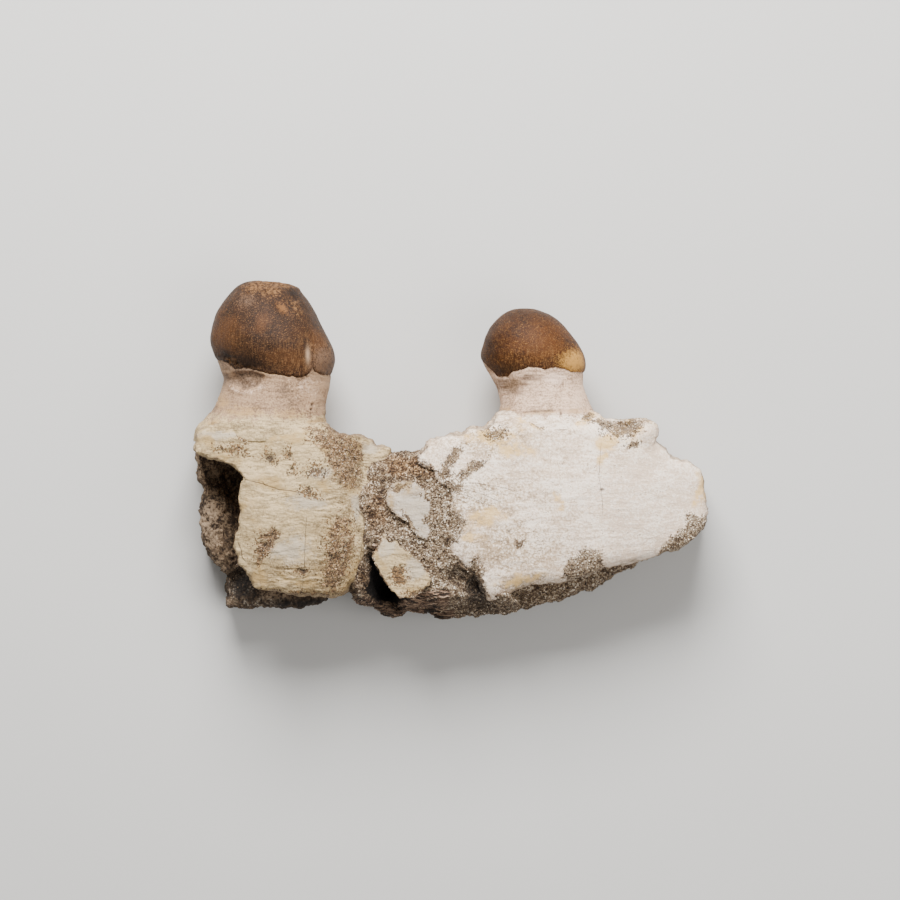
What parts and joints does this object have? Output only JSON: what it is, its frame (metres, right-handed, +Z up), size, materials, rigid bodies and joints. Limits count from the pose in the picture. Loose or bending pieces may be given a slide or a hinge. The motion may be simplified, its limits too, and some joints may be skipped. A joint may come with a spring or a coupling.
{
  "type": "fossil mosasaur jaw",
  "caption": "Broken piece of fossil jaw bone in sandy rock, with ball-shaped crushing teeth, lying on its inner side.",
  "frame": {"origin": "on the surface that the jaw rests on, under the middle of its outline", "axes": "+X along the jaw, +Y from the jaw's lower edge towards the teeth, +Z up, out of the jaw's outer face"},
  "size_m": [0.181, 0.1194, 0.046],
  "materials": {
    "yellowed_bone": "matte, dry, fibrous, stained with ochre",
    "pale_bone": "matte, dry, finely fibrous",
    "sandy_rock": "rough, coarse sand grains",
    "tooth": "satin brown enamel on a pale matte root"
  },
  "bodies": {
    "root": {"bone_left": "yellowed_bone", "bone_right": "pale_bone", "bone_chip_upper": "pale_bone", "bone_chip_lower": "yellowed_bone", "matrix": "sandy_rock", "tooth_large": "tooth", "tooth_small": "tooth"}
  },
  "joints": []
}
